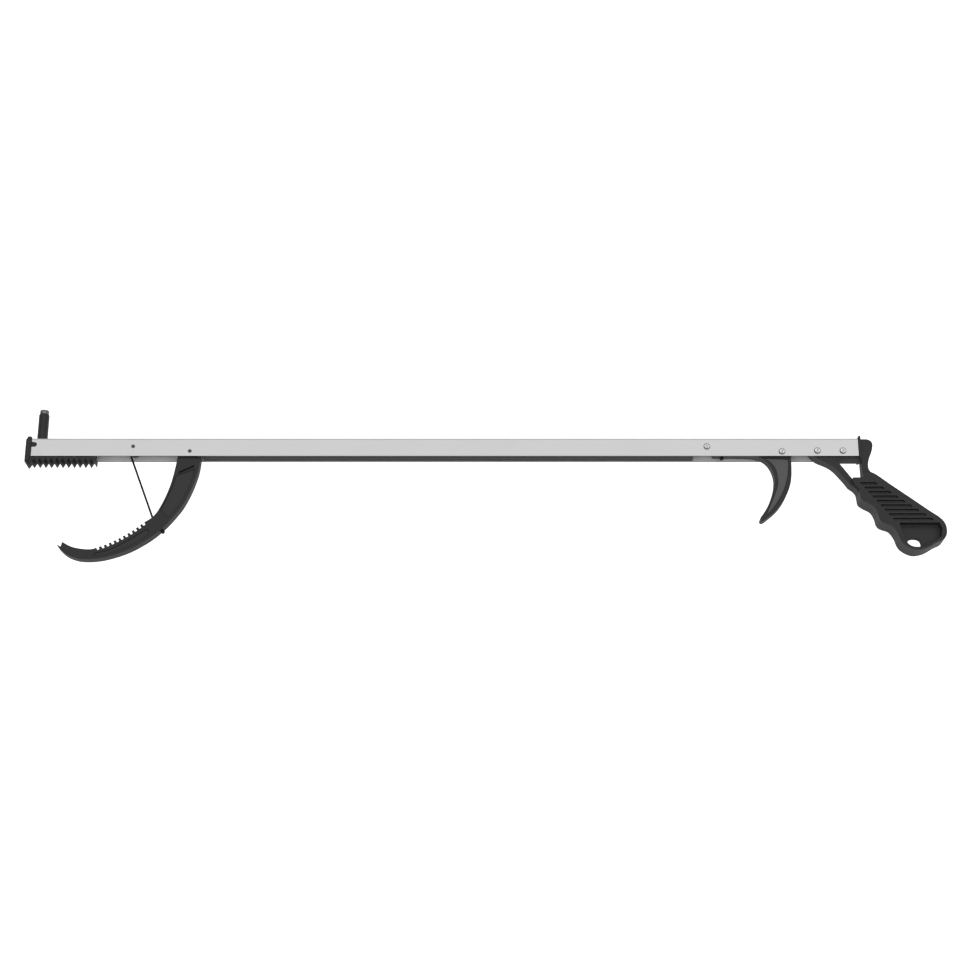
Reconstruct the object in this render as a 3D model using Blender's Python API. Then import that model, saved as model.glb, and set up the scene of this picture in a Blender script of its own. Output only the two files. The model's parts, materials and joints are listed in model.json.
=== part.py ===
"""Reacher grabber, lying on its side on a table.

+X runs towards the handle, +Y towards the back of the channel (the top in use),
and +Z up from the table. Lengths below are in millimetres, turned to metres by MM.
Run with: blender --background --python part.py
"""

import math

import bmesh
import bpy
from mathutils import Matrix, Vector

MM = 0.001
GAP = 0.3
MID_Z = 8.0

# Channel: a folded aluminium U, open towards -Y.
CHANNEL_FRONT = -325.4
CHANNEL_REAR = 272.0
CHANNEL_MOUTH = 18.8
CHANNEL_BACK = 32.6
CHANNEL_WIDTH = 13.0
WALL = 1.2
BEND_RADIUS = 1.3
CHANNEL_LOW = MID_Z - CHANNEL_WIDTH / 2
CHANNEL_HIGH = MID_Z + CHANNEL_WIDTH / 2
INSIDE_LOW = CHANNEL_LOW + WALL
INSIDE_HIGH = CHANNEL_HIGH - WALL
INSIDE_BACK = CHANNEL_BACK - WALL
PEG = (-323.4, 27.6)
PEG_RADIUS = 1.5

# Pins and rivets, as (x, y) of their axes, which all run along Z.
GUIDE_PIN = (-251.9, 26.1)
JAW_PIVOT = (-210.8, 22.5)
GUIDE_RIVET = (162.6, 26.1)
TRIGGER_PIVOT = (216.7, 22.3)
HANDLE_RIVETS = ((242.3, 22.8), (260.7, 22.8))
PIN_RADIUS = 1.05
BUSH_RADIUS = 3.4
BUSH_RIM_RADIUS = 4.6
RIVET_RADIUS = 1.6
RIVET_HEAD_RADIUS = 2.35
RIVET_HEAD_HEIGHT = 0.75
RUNNING_GAP = 0.15

# Front jaw: the fixed moulding that plugs the channel's front end.
JAW_END = -329.5
TOOTH_PITCH = 4.14
TOOTH_COUNT = 13
TOOTH_FIRST = -329.05
TOOTH_TIP = 13.7
TOOTH_ROOT = 17.5
FLANGE_LOW = 0.6
FLANGE_TOP = 33.6
POST_X = -319.5
POST_RADIUS = 3.75
POST_TOP = 53.2
MAGNET_RADIUS = 2.9
MAGNET_TOP = 56.4

# Cover strip that closes the channel's mouth between the jaw and the trigger.
STRIP_FRONT = -201.6
STRIP_REAR = 153.0
STRIP_FACE = 19.1

# Moving jaw and trigger.
LEVER_THICKNESS = 8.0
LEVER_LOW = MID_Z - LEVER_THICKNESS / 2
LEVER_HIGH = MID_Z + LEVER_THICKNESS / 2
PANEL_DEPTH = 1.0
JAW_HUB_RADIUS = 4.3
JAW_SLEEVE_RADIUS = 2.0
TRIGGER_HUB_RADIUS = 7.6
GRIP_TOOTH_COUNT = 11
GRIP_TOOTH_PITCH = 3.635
GRIP_TOOTH_DEPTH = 2.0

# Cord and return spring.
CORD_RADIUS = 0.6
CORD_HOLE_RADIUS = 1.0
JAW_HOLE_MOUTH = (-235.7, -26.6)
JAW_HOLE_EXIT = (-228.5, -35.9)
ARM_HOLE_X = 173.7
SPRING_RADIUS = 2.75
SPRING_WIRE = 0.4
SPRING_TURNS = 2.25
SPRING_FOOT = (-216.9, 7.5)
SPRING_LOW = INSIDE_LOW + GAP + SPRING_WIRE

# Handle.
GRIP_THICKNESS = 16.0
GRIP_FRONT_ROUND = 3.6
GRIP_BACK_ROUND = 1.8
# The line between the finger side and the back, as a point and a slope.
GRIP_SPLIT_X = 265.0
GRIP_SPLIT_Y = 4.0
GRIP_SPLIT_SLOPE = -0.85
FRAME_THICKNESS = 10.0
HANG_HOLE = (308.0, -46.3)
HANG_HOLE_RADIUS = 3.95
HANG_HOLE_LENGTH = 10.1
RECESS_DEPTH = 5.5
SLOT_COUNT = 9
SLOT_PITCH = 3.37
SLOT_HEIGHT = 1.7
SLOT_DEPTH = 2.2

BLACK = (0.018, 0.018, 0.02)
ALUMINIUM = (0.62, 0.62, 0.63)
STEEL = (0.55, 0.55, 0.56)


def clear_scene():
    for obj in list(bpy.data.objects):
        bpy.data.objects.remove(obj, do_unlink=True)


def finish(obj, colour, roughness, metallic=0.0):
    """Gives the object its own Principled material."""
    material = bpy.data.materials.new(obj.name)
    material.use_nodes = True
    shader = material.node_tree.nodes["Principled BSDF"]
    shader.inputs["Base Color"].default_value = (*colour, 1.0)
    shader.inputs["Roughness"].default_value = roughness
    shader.inputs["Metallic"].default_value = metallic
    obj.data.materials.clear()
    obj.data.materials.append(material)


def add_object(name, mesh):
    obj = bpy.data.objects.new(name, mesh)
    bpy.context.scene.collection.objects.link(obj)
    return obj


def extrusion(name, outline, direction, low, high):
    """A closed solid: an outline of 3-D points in millimetres, swept from low to high along direction."""
    shape = bmesh.new()
    start = Vector(direction) * low
    face = shape.faces.new([shape.verts.new((Vector(p) + start) * MM) for p in outline])
    swept = bmesh.ops.extrude_face_region(shape, geom=[face])
    far = [part for part in swept["geom"] if isinstance(part, bmesh.types.BMVert)]
    bmesh.ops.translate(shape, verts=far, vec=Vector(direction) * (high - low) * MM)
    bmesh.ops.recalc_face_normals(shape, faces=shape.faces)
    mesh = bpy.data.meshes.new(name)
    shape.to_mesh(mesh)
    shape.free()
    return add_object(name, mesh)


def prism(name, outline, low, high):
    """An (x, y) outline extruded along Z."""
    return extrusion(name, [(x, y, 0) for x, y in outline], (0, 0, 1), low, high)


def rail(name, profile, low, high):
    """A (y, z) profile extruded along X."""
    return extrusion(name, [(0, y, z) for y, z in profile], (1, 0, 0), low, high)


def arc(centre, radius, start, end, steps):
    """Points on an arc, from start to end in degrees."""
    angles = [math.radians(start + (end - start) * i / steps) for i in range(steps + 1)]
    return [(centre[0] + radius * math.cos(a), centre[1] + radius * math.sin(a)) for a in angles]


def disc(name, centre, radius, low, high, sides=24):
    return prism(name, arc(centre, radius, 0, 360, sides)[:-1], low, high)


def smooth(points, steps=3):
    """A smooth curve through the points, with that many steps to each span."""
    ends = [points[0], *points, points[-1]]
    curve = []
    for a, b, c, d in zip(ends, ends[1:], ends[2:], ends[3:]):
        for i in range(steps):
            t = i / steps
            curve.append(tuple(blend_span(*span, t) for span in zip(a, b, c, d)))
    curve.append(points[-1])
    return curve


def blend_span(a, b, c, d, t):
    """One coordinate of a Catmull-Rom span from b to c."""
    return b + 0.5 * t * (c - a + t * (2 * a - 5 * b + 4 * c - d + t * (3 * (b - c) + d - a)))


def turned(name, profile, centre, axis="Z", sides=24):
    """A solid turned from (radius, height) points, whose first and last radius is 0."""
    shape = bmesh.new()
    rings = []
    for radius, height in profile:
        count = sides if radius else 1
        ring = arc((0, 0), radius, 0, 360, count)[:-1]
        rings.append([shape.verts.new((x, y, height)) for x, y in ring])
    for low, high in zip(rings, rings[1:]):
        for i in range(sides):
            corners = [low[i % len(low)], low[(i + 1) % len(low)]]
            corners += [high[(i + 1) % len(high)], high[i % len(high)]]
            shape.faces.new(dict.fromkeys(corners))
    bmesh.ops.recalc_face_normals(shape, faces=shape.faces)
    if axis == "Y":
        shape.transform(Matrix.Rotation(math.radians(-90), 4, "X"))
    shape.transform(Matrix.Translation(centre))
    shape.transform(Matrix.Scale(MM, 4))
    mesh = bpy.data.meshes.new(name)
    shape.to_mesh(mesh)
    shape.free()
    return add_object(name, mesh)


def boolean(obj, other, operation):
    """Leaves the other shape as a hidden helper of a live Boolean."""
    modifier = obj.modifiers.new(operation.title() + " " + other.name, "BOOLEAN")
    modifier.operation = operation
    modifier.object = other
    other.hide_render = True
    other.display_type = "WIRE"


def cut(obj, *cutters):
    for cutter in cutters:
        boolean(obj, cutter, "DIFFERENCE")


def join(obj, *others):
    for other in others:
        boolean(obj, other, "UNION")


def round_grip(grip):
    """Rounds the grip's long edges, broadly along the finger side and less along the back."""
    weights = grip.data.attributes.new("bevel_weight_edge", "FLOAT", "EDGE")
    for edge in grip.data.edges:
        first, second = (grip.data.vertices[i].co / MM for i in edge.vertices)
        if abs(first.z - second.z) > 1:
            continue
        middle = (first + second) / 2
        ahead = middle.y < GRIP_SPLIT_Y + (middle.x - GRIP_SPLIT_X) * GRIP_SPLIT_SLOPE
        weights.data[edge.index].value = 1.0 if ahead else GRIP_BACK_ROUND / GRIP_FRONT_ROUND
    modifier = grip.modifiers.new("Rounded edges", "BEVEL")
    modifier.width = GRIP_FRONT_ROUND * MM
    modifier.segments = 4
    modifier.limit_method = "WEIGHT"


def set_origin(obj, point):
    """Puts the object's origin on a joint's axis, and leaves its shape where it is."""
    origin = Vector((*point, MID_Z)) * MM
    obj.data.transform(Matrix.Translation(-origin))
    obj.location = origin


def tube(name, route, radius):
    """A cord or wire along a route of (x, y, z) points, with closed ends."""
    curve = bpy.data.curves.new(name, "CURVE")
    curve.dimensions = "3D"
    curve.bevel_depth = radius * MM
    curve.bevel_resolution = 2
    curve.use_fill_caps = True
    spline = curve.splines.new("POLY")
    spline.points.add(len(route) - 1)
    for point, place in zip(spline.points, route):
        point.co = (*(Vector(place) * MM), 1.0)
    return add_object(name, curve)


def lever_bore(name, centre, radius):
    return disc(name, centre, radius, -2, 18)


def peg_outline(radius):
    """A tab from ahead of the channel's end to a half-round tip."""
    root = JAW_END + 1
    return [*arc(PEG, radius, -90, 90, 10), (root, PEG[1] + radius), (root, PEG[1] - radius)]


def make_channel():
    """The U-section with its rivet holes, the slot for the post and the notches for the pegs."""
    outer = [(CHANNEL_MOUTH, CHANNEL_LOW)]
    outer += arc((CHANNEL_BACK - BEND_RADIUS, CHANNEL_LOW + BEND_RADIUS), BEND_RADIUS, -90, 0, 4)
    outer += arc((CHANNEL_BACK - BEND_RADIUS, CHANNEL_HIGH - BEND_RADIUS), BEND_RADIUS, 0, 90, 4)
    outer += [(CHANNEL_MOUTH, CHANNEL_HIGH), (CHANNEL_MOUTH, INSIDE_HIGH)]
    inner = [(INSIDE_BACK, INSIDE_HIGH), (INSIDE_BACK, INSIDE_LOW), (CHANNEL_MOUTH, INSIDE_LOW)]
    channel = rail("channel", outer + inner, CHANNEL_FRONT, CHANNEL_REAR)
    for i, centre in enumerate((GUIDE_PIN, JAW_PIVOT)):
        cut(channel, lever_bore(f"pin_hole_{i}", centre, PIN_RADIUS + RUNNING_GAP))
    rivets = (GUIDE_RIVET, TRIGGER_PIVOT, *HANDLE_RIVETS)
    for i, centre in enumerate(rivets):
        cut(channel, lever_bore(f"rivet_hole_{i}", centre, RIVET_RADIUS + RUNNING_GAP))
    cut(channel, prism("peg_notch", peg_outline(PEG_RADIUS + GAP), -2, 18))
    slot_end = POST_X + POST_RADIUS + GAP
    half_slot = POST_RADIUS + GAP
    slot = [(CHANNEL_FRONT - 1, INSIDE_BACK - 1), (slot_end, INSIDE_BACK - 1)]
    slot += [(slot_end, CHANNEL_BACK + 1), (CHANNEL_FRONT - 1, CHANNEL_BACK + 1)]
    cut(channel, prism("post_slot", slot, MID_Z - half_slot, MID_Z + half_slot))
    finish(channel, ALUMINIUM, 0.35, 1.0)


def tooth_outline():
    """The toothed pad under the channel: V teeth across its whole width."""
    top = CHANNEL_MOUTH - GAP
    outline = [(JAW_END, top), (JAW_END, TOOTH_TIP + 1.2)]
    for i in range(TOOTH_COUNT):
        tip = TOOTH_FIRST + i * TOOTH_PITCH
        outline.append((tip, TOOTH_TIP))
        if i < TOOTH_COUNT - 1:
            outline.append((tip + TOOTH_PITCH / 2, TOOTH_ROOT))
    outline.append((tip + 0.2, top))
    return outline


def make_front_jaw():
    """End flange, toothed pad, plug inside the channel, round post and the two pegs, in one moulding."""
    pad = prism("front_jaw", tooth_outline(), CHANNEL_LOW + 0.3, CHANNEL_HIGH - 0.3)
    rear = CHANNEL_FRONT - GAP
    flange = [(JAW_END, TOOTH_TIP + 0.8), (TOOTH_FIRST, TOOTH_TIP - 0.3), (TOOTH_FIRST + 1.7, TOOTH_TIP + 2.4)]
    flange += [(rear, TOOTH_TIP + 3.8), (rear, FLANGE_TOP), (JAW_END + 1.6, FLANGE_TOP), (JAW_END, FLANGE_TOP - 2.4)]
    end = prism("end_flange", flange, FLANGE_LOW, 2 * MID_Z - FLANGE_LOW)
    last = TOOTH_FIRST + (TOOTH_COUNT - 1) * TOOTH_PITCH - 0.5
    plug = [(JAW_END + 1, CHANNEL_MOUTH - 1), (last, CHANNEL_MOUTH - 1)]
    plug += [(last, CHANNEL_MOUTH + 4), (last - 14, INSIDE_BACK - GAP), (JAW_END + 1, INSIDE_BACK - GAP)]
    block = prism("end_plug", plug, INSIDE_LOW + GAP, INSIDE_HIGH - GAP)
    pegs = prism("end_pegs", peg_outline(PEG_RADIUS), CHANNEL_LOW + 0.1, CHANNEL_HIGH - 0.1)
    shank = [(0, INSIDE_BACK - 6), (POST_RADIUS, INSIDE_BACK - 6), (POST_RADIUS, POST_TOP - 0.7)]
    shank += [(POST_RADIUS - 0.35, POST_TOP), (0, POST_TOP)]
    post = turned("post", shank, (POST_X, 0, MID_Z), "Y")
    join(pad, end, block, pegs, post)
    socket_floor = POST_TOP - 3.0
    socket = [(0, socket_floor), (MAGNET_RADIUS + 0.2, socket_floor)]
    socket += [(MAGNET_RADIUS + 0.2, POST_TOP + 2), (0, POST_TOP + 2)]
    cut(pad, turned("magnet_socket", socket, (POST_X, 0, MID_Z), "Y"))
    finish(pad, BLACK, 0.5)


def make_magnet():
    """A button magnet pressed into the end of the post."""
    floor = POST_TOP - 3.0 + 0.2
    profile = [(0, floor), (MAGNET_RADIUS, floor), (MAGNET_RADIUS, MAGNET_TOP - 0.8)]
    profile += [(MAGNET_RADIUS - 0.25, MAGNET_TOP - 0.25), (MAGNET_RADIUS - 0.8, MAGNET_TOP), (0, MAGNET_TOP)]
    finish(turned("lug_magnet", profile, (POST_X, 0, MID_Z), "Y"), (0.3, 0.3, 0.32), 0.35, 0.8)


def make_cover_strip():
    """A snap-in strip: a flat face with a leg along each wall."""
    low = INSIDE_LOW + GAP
    high = INSIDE_HIGH - GAP
    leg_top = STRIP_FACE + 4.5
    floor = STRIP_FACE + 1.2
    profile = [(STRIP_FACE, low), (leg_top, low), (leg_top, low + 1), (floor, low + 1)]
    profile += [(floor, high - 1), (leg_top, high - 1), (leg_top, high), (STRIP_FACE, high)]
    strip = rail("cover_strip", profile, STRIP_FRONT, STRIP_REAR)
    finish(strip, (0.055, 0.055, 0.058), 0.5)


def jaw_inner_edge():
    """From the channel's mouth down to the first of the small teeth."""
    points = [(-220.1, 16.5), (-221.5, 8.0), (-223.7, -2.2), (-227.1, -12.3), (-231.7, -22.2)]
    return smooth([*points, (-235.5, -27.1), (-240.5, -30.7)], 4)


def point_along(line, distance):
    """The point at a distance along a line of points."""
    for here, there in zip(line, line[1:]):
        span = math.dist(here, there)
        if distance <= span:
            return Vector(here).lerp(Vector(there), distance / span)
        distance -= span
    return Vector(line[-1])


def jaw_small_teeth():
    """Square grooves cut into the inner edge, along its gentle curve."""
    crest = [(-240.9, -30.8), (-243.3, -32.8), (-249.2, -37.4), (-255.2, -41.3), (-261.6, -44.9)]
    crest = smooth([*crest, (-268.2, -48.0), (-271.7, -49.2), (-275.8, -50.4)], 8)
    outline = []
    for i in range(GRIP_TOOTH_COUNT):
        near = point_along(crest, GRIP_TOOTH_PITCH * (i + 0.05))
        far = point_along(crest, GRIP_TOOTH_PITCH * (i + 0.55))
        run = (far - near).normalized()
        depth = Vector((-run.y, run.x)) * GRIP_TOOTH_DEPTH
        outline += [near, near + depth, far + depth, far]
    return [tuple(point) for point in outline]


def jaw_outline():
    outline = [(-203.9, 20.6), *arc(JAW_PIVOT, JAW_HUB_RADIUS, 60, 125, 5), (-219.6, 20.2)]
    outline += jaw_inner_edge()
    outline += jaw_small_teeth()
    outline += smooth([(-275.2, -50.6), (-279.4, -51.2), (-286.4, -50.5), (-292.3, -48.9), (-298.5, -45.5)], 4)
    outline += [(-299.2, -49.2)]
    back = [(-302.5, -47.2), (-299.8, -50.8), (-294.2, -55.3), (-286.1, -58.15), (-276.4, -58.5)]
    back += [(-265.4, -56.7), (-250.9, -51.6), (-236.9, -43.2), (-226.9, -34.5), (-219.6, -25.9)]
    outline += smooth([*back, (-213.95, -17.7), (-209.05, -7.2), (-205.7, 2.85), (-203.95, 10.7), (-203.2, 18.5)], 4)
    return outline


def jaw_tail_panel():
    """A second sunken panel, which runs below the small teeth."""
    ledge = [(-238.6, -35.8), (-244.3, -39.6), (-254.7, -46.2), (-265.1, -51.6), (-274.5, -53.8)]
    rim = [(-276.0, -56.2), (-266.0, -54.6), (-252.4, -49.6), (-240.6, -42.6), (-237.0, -38.6)]
    return smooth(ledge, 3) + smooth(rim, 3)


def make_moving_jaw():
    """The curved hook on the jaw pivot, with its hub, side panels, spring slot and cord hole."""
    jaw = prism("moving_jaw", jaw_outline(), LEVER_LOW, LEVER_HIGH)
    panel = smooth([(-220.0, 4.6), (-222.3, -3.0), (-225.9, -12.7), (-229.8, -21.4)])
    panel += smooth([(-224.4, -27.7), (-217.6, -19.3), (-211.3, -7.0), (-208.0, 3.2), (-206.6, 10.0)])
    for name, outline in (("jaw_panel", panel), ("jaw_tail_panel", jaw_tail_panel())):
        cut(jaw, prism(name + "_near", outline, LEVER_HIGH - PANEL_DEPTH, LEVER_HIGH + 1))
        cut(jaw, prism(name + "_far", outline, LEVER_LOW - 1, LEVER_LOW + PANEL_DEPTH))
    slot = [(-218.8, 5.8), (-207.8, 11.2), (-207.2, 12.9), (-218.2, 7.6)]
    cut(jaw, prism("spring_slot", slot, 0, 16))
    cut(jaw, disc("coil_pocket", JAW_PIVOT, SPRING_RADIUS + 0.75, 0, LEVER_LOW + 2.6))
    leg_top = (JAW_PIVOT[0] - SPRING_RADIUS, JAW_PIVOT[1])
    groove = [(leg_top[0] - 0.8, leg_top[1]), (SPRING_FOOT[0] - 0.8, SPRING_FOOT[1])]
    groove += [(SPRING_FOOT[0] + 0.8, SPRING_FOOT[1]), (leg_top[0] + 0.8, leg_top[1])]
    cut(jaw, prism("spring_groove", groove, 0, LEVER_LOW + 2.6))
    join(jaw, disc("jaw_sleeve", JAW_PIVOT, JAW_SLEEVE_RADIUS, INSIDE_LOW + GAP, INSIDE_HIGH - GAP))
    cut(jaw, lever_bore("jaw_bore", JAW_PIVOT, PIN_RADIUS + RUNNING_GAP))
    cut(jaw, jaw_cord_hole())
    set_origin(jaw, JAW_PIVOT)
    finish(jaw, BLACK, 0.5)


def jaw_cord_hole():
    """A drilling through the jaw, square to its edge, along the cord's way to the knot."""
    mouth = Vector((*JAW_HOLE_MOUTH, MID_Z))
    way = Vector((*JAW_HOLE_EXIT, MID_Z)) - mouth
    radius = CORD_HOLE_RADIUS
    profile = [(0, -6), (radius, -6), (radius, way.length + 6), (0, way.length + 6)]
    hole = turned("jaw_cord_hole", profile, (0, 0, 0), sides=12)
    turn = Vector((0, 0, 1)).rotation_difference(way)
    hole.data.transform(Matrix.Translation(mouth * MM) @ turn.to_matrix().to_4x4())
    return hole


def make_pin(name, centre):
    """A plain pin, its ends peened just proud of the walls."""
    low = CHANNEL_LOW - 0.35
    high = CHANNEL_HIGH + 0.35
    edge = PIN_RADIUS - 0.25
    profile = [(0, low), (edge, low), (PIN_RADIUS, low + 0.2)]
    profile += [(PIN_RADIUS, high - 0.2), (edge, high), (0, high)]
    finish(turned(name, profile, (*centre, 0), sides=16), STEEL, 0.3, 1.0)


def make_guide_bush():
    """A fixed nylon spool on the guide pin, with a rim at each end, which the cord bends round."""
    low = INSIDE_LOW + GAP
    high = INSIDE_HIGH - GAP
    groove = 1.6
    profile = [(0, low), (BUSH_RIM_RADIUS, low), (BUSH_RIM_RADIUS, MID_Z - groove - 0.8), (BUSH_RADIUS, MID_Z - groove)]
    profile += [(BUSH_RADIUS, MID_Z + groove), (BUSH_RIM_RADIUS, MID_Z + groove + 0.8), (BUSH_RIM_RADIUS, high), (0, high)]
    bush = turned("front_guide_bush", profile, (*GUIDE_PIN, 0))
    cut(bush, lever_bore("bush_bore", GUIDE_PIN, PIN_RADIUS + RUNNING_GAP))
    finish(bush, BLACK, 0.5)


def make_rivet(name, centre):
    """A semi-tubular rivet: domed head below, rolled ring with a dished middle above."""
    seat = CHANNEL_LOW - RUNNING_GAP
    roll = CHANNEL_HIGH + RUNNING_GAP
    head = RIVET_HEAD_RADIUS
    profile = [(0, seat - RIVET_HEAD_HEIGHT), (head * 0.6, seat - RIVET_HEAD_HEIGHT * 0.85)]
    profile += [(head, seat - 0.2), (head, seat), (RIVET_RADIUS, seat), (RIVET_RADIUS, roll)]
    profile += [(head, roll), (head, roll + 0.3), (head * 0.75, roll + RIVET_HEAD_HEIGHT)]
    profile += [(head * 0.5, roll + 0.4), (head * 0.25, roll - 0.4), (0, roll - 0.6)]
    finish(turned(name, profile, (*centre, 0)), STEEL, 0.25, 1.0)


def trigger_outline():
    outline = arc(TRIGGER_PIVOT, TRIGGER_HUB_RADIUS, -10, 140, 10)
    outline += [(203.0, 24.8), (192.0, 23.6)]
    outline += arc((168.3, 21.8), 1.4, 90, 270, 6)
    front = [(184.0, 20.3), (196.6, 19.6), (204.2, 16.5), (208.6, 10.7), (210.6, 3.0)]
    outline += smooth([*front, (209.9, -4.9), (207.5, -12.5), (203.7, -20.7), (199.1, -27.5)], 5)
    outline += [(198.8, -28.7), (199.3, -29.6), (200.5, -30.0)]
    rear = [(202.1, -29.2), (209.2, -23.4), (214.6, -17.2), (219.0, -9.6), (221.9, -2.1)]
    outline += smooth([*rear, (223.1, 5.0), (223.4, 12.0), (223.5, 18.0)], 4)
    return outline


def make_trigger():
    """A bell crank: the finger blade below the pivot and the cord's arm ahead of it."""
    trigger = prism("trigger", trigger_outline(), LEVER_LOW, LEVER_HIGH)
    panel = smooth([(200.6, 18.4), (206.8, 16.2), (211.2, 11.0), (212.9, 3.6), (212.0, -5.0), (205.2, -21.0)], 4)
    panel += smooth([(203.0, -25.7), (207.8, -21.4), (215.6, -9.6), (220.0, 2.0), (221.5, 12.0), (221.6, 17.2)], 4)
    cut(trigger, prism("trigger_panel_near", panel, LEVER_HIGH - PANEL_DEPTH, LEVER_HIGH + 1))
    cut(trigger, prism("trigger_panel_far", panel, LEVER_LOW - 1, LEVER_LOW + PANEL_DEPTH))
    join(trigger, disc("trigger_hub", TRIGGER_PIVOT, 4.2, INSIDE_LOW + GAP, INSIDE_HIGH - GAP))
    cut(trigger, lever_bore("trigger_bore", TRIGGER_PIVOT, RIVET_RADIUS + RUNNING_GAP))
    hole = [(0, 10), (CORD_HOLE_RADIUS, 10), (CORD_HOLE_RADIUS, 30), (0, 30)]
    cut(trigger, turned("arm_cord_hole", hole, (ARM_HOLE_X, 0, MID_Z), "Y", sides=12))
    set_origin(trigger, TRIGGER_PIVOT)
    finish(trigger, BLACK, 0.5)


def frame_outline():
    """The handle's slim part: tongue in the channel, curved strut, back column and rounded top."""
    outline = [(272.9, 27.6), (240.2, 27.6), (237.2, 25.2)]
    outline += smooth([(237.0, 22.6), (239.5, 19.4), (242.3, 17.0), (250.1, 13.4), (255.2, 9.2), (262.2, 0.5)], 4)
    outline += [(264.1, -2.5), (267.9, -5.4), (270.4, -9.0), (290.0, -9.0)]
    outline += smooth([(286.2, 1.3), (281.3, 5.6), (278.6, 10.0), (279.2, 16.2), (281.8, 23.0), (282.8, 27.6)], 4)
    outline += smooth([(282.6, 29.4), (281.4, 31.2), (279.0, 32.3)], 2)
    return [*outline, (272.9, 32.4)]


def grip_outline():
    """The grip's full-width part, with finger bumps ahead and a straight back."""
    front = [(265.5, 0.5), (266.6, -2.5), (269.8, -6.0), (270.6, -10.4), (271.2, -14.3), (274.3, -17.0)]
    front += [(279.8, -20.2), (282.4, -25.5), (283.4, -30.1), (286.1, -32.8), (291.8, -34.9)]
    front += [(295.4, -40.2), (297.2, -45.7), (300.7, -49.8), (307.3, -52.8), (315.2, -51.6)]
    back = [(322.8, -47.3), (328.8, -44.1), (330.7, -38.8), (329.8, -33.0), (326.2, -28.4)]
    back += [(319.4, -23.5), (306.1, -13.4), (292.6, -3.3), (281.7, 5.0), (276.0, 5.8), (268.0, 3.2)]
    return smooth([*front, *back], 3)


def hole_outline():
    """The hanging hole, a round-ended slot."""
    half = HANG_HOLE_LENGTH / 2 - HANG_HOLE_RADIUS
    right = arc((HANG_HOLE[0] + half, HANG_HOLE[1]), HANG_HOLE_RADIUS, -90, 90, 12)
    return right + arc((HANG_HOLE[0] - half, HANG_HOLE[1]), HANG_HOLE_RADIUS, 90, 270, 12)


def lower_recess():
    """The deep recess in each side of the grip's end, with a thin web between the two."""
    corner = smooth([(326.3, -42.6), (317.7, -48.3), (312.5, -50.35), (306.2, -50.4), (302.3, -48.0), (300.3, -44.0)], 3)
    return [(297.3, -32.5), (325.6, -32.5), (327.3, -36.5), *corner]


def make_handle():
    """The pistol handle: frame, end flange and ribbed grip, in one moulding."""
    half = FRAME_THICKNESS / 2
    handle = prism("handle", frame_outline(), MID_Z - half, MID_Z + half)
    grip = prism("grip", grip_outline(), 0, GRIP_THICKNESS)
    round_grip(grip)
    plate = [(CHANNEL_REAR + GAP, 16.9), (274.0, 16.9), (274.0, 34.2), (CHANNEL_REAR + GAP, 34.2)]
    flange = prism("rear_flange", plate, CHANNEL_LOW - 0.5, CHANNEL_HIGH + 0.5)
    window = [(255.6, 16.85), (266.4, 1.8), (274.2, 1.8), (274.0, 16.85)]
    join(handle, flange, grip)
    cut(handle, prism("window", window, -1, 17))
    for i in range(SLOT_COUNT):
        y = -2.85 - i * SLOT_PITCH
        left = 271.9 + 2.7 * i
        right = 283.7 + 4.75 * i
        low = y - SLOT_HEIGHT / 2
        high = y + SLOT_HEIGHT / 2
        slot = [(left, low), (right, low), (right - 1.2, high), (left - 0.8, high)]
        cut(handle, prism(f"slot_near_{i}", slot, GRIP_THICKNESS - SLOT_DEPTH, GRIP_THICKNESS + 1))
        cut(handle, prism(f"slot_far_{i}", slot, -1, SLOT_DEPTH))
    cut(handle, prism("recess_near", lower_recess(), GRIP_THICKNESS - RECESS_DEPTH, GRIP_THICKNESS + 1))
    cut(handle, prism("recess_far", lower_recess(), -1, RECESS_DEPTH))
    cut(handle, prism("hanging_hole", hole_outline(), -1, 17))
    for i, centre in enumerate(HANDLE_RIVETS):
        cut(handle, lever_bore(f"tongue_hole_{i}", centre, RIVET_RADIUS + RUNNING_GAP))
    finish(handle, BLACK, 0.5)


def make_spring():
    """Return spring: a coil round the jaw's hub, one leg under the channel's back, one in the jaw's slot."""
    steps = 12
    pitch = 2.4 * SPRING_WIRE
    coil = []
    for i in range(int(SPRING_TURNS * steps) + 1):
        x, y = arc(JAW_PIVOT, SPRING_RADIUS, 90, 90 + 360 * i / steps, 1)[-1]
        coil.append((x, y, SPRING_LOW + pitch * i / steps))
    back_leg = [(-193.0, 30.6, SPRING_LOW), (-204.0, 27.6, SPRING_LOW)]
    high = coil[-1][2]
    jaw_leg = [(*SPRING_FOOT, high), (*SPRING_FOOT, high + 4.5)]
    spring = tube("jaw_return_spring", back_leg + coil + jaw_leg, SPRING_WIRE)
    finish(spring, STEEL, 0.35, 1.0)


def make_cords():
    """The pull cord: trigger arm, over the guide rivet, along the channel, over the guide pin, to the jaw."""
    front_wrap = BUSH_RADIUS + CORD_RADIUS + 0.05
    rear_wrap = RIVET_RADIUS + CORD_RADIUS + 0.05
    over_rivet = arc(GUIDE_RIVET, rear_wrap, 66, 90, 3)
    over_pin = arc(GUIDE_PIN, front_wrap, 90, 172, 6)
    drop = [*arc(GUIDE_PIN, front_wrap, 180, 201.3, 2), JAW_HOLE_MOUTH]
    rise = [(ARM_HOLE_X, 22.2), (ARM_HOLE_X, 23.7), (ARM_HOLE_X - 0.9, 24.3), *arc(GUIDE_RIVET, rear_wrap, 38, 58, 2)]
    routes = {"pull_cord_channel": over_rivet + over_pin, "pull_cord_front": drop, "pull_cord_rear": rise}
    for name, route in routes.items():
        cord = tube(name, [(x, y, MID_Z) for x, y in route], CORD_RADIUS)
        finish(cord, (0.03, 0.03, 0.03), 0.8)


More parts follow.
